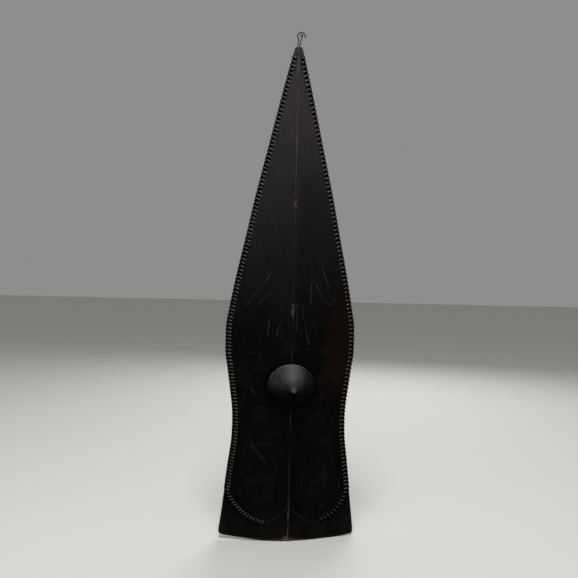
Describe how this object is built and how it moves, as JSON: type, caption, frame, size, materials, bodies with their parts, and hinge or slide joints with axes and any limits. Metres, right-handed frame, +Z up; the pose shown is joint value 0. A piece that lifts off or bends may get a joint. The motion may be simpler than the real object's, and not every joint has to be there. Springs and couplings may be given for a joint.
{
  "type": "wooden shield",
  "caption": "Tall pointed wooden hand shield with a keel, a coconut-shell boss over the hand hole, rattan-whipped rims and a swinging wire hanging loop.",
  "frame": {"origin": "centre of the hand grip, the vertical bar that crosses the hand hole behind the boss", "axes": "+Z up the shield to its tip, -Y out of its front, +X to the right of someone who looks at the front"},
  "size_m": [0.326, 0.089, 1.2063],
  "materials": {
    "sooty_wood": "satin",
    "coconut_shell": "satin",
    "rattan": "satin",
    "rusty_wire": "rough"
  },
  "bodies": {
    "shield": {"board": "sooty_wood", "boss_shell": "coconut_shell", "boss_tie_upper_right": "rattan", "boss_tie_upper_left": "rattan", "boss_tie_lower_left": "rattan", "boss_tie_lower_right": "rattan", "rim_whipping_left_1": "rattan", "rim_whipping_left_2": "rattan", "rim_whipping_left_3": "rattan", "rim_whipping_left_4": "rattan", "rim_whipping_left_5": "rattan", "rim_whipping_left_6": "rattan", "rim_whipping_right_1": "rattan", "rim_whipping_right_2": "rattan", "rim_whipping_right_3": "rattan", "rim_whipping_right_4": "rattan", "rim_whipping_right_5": "rattan"},
    "hanger": {"hanging_wire": "rusty_wire"}
  },
  "joints": [
    {"name": "hanger_swing", "type": "hinge", "parent": "shield", "child": "hanger", "pos_m": [0, -0.012, 0.7875], "axis": [0, 1, 0], "range_deg": [-90, 90]}
  ]
}
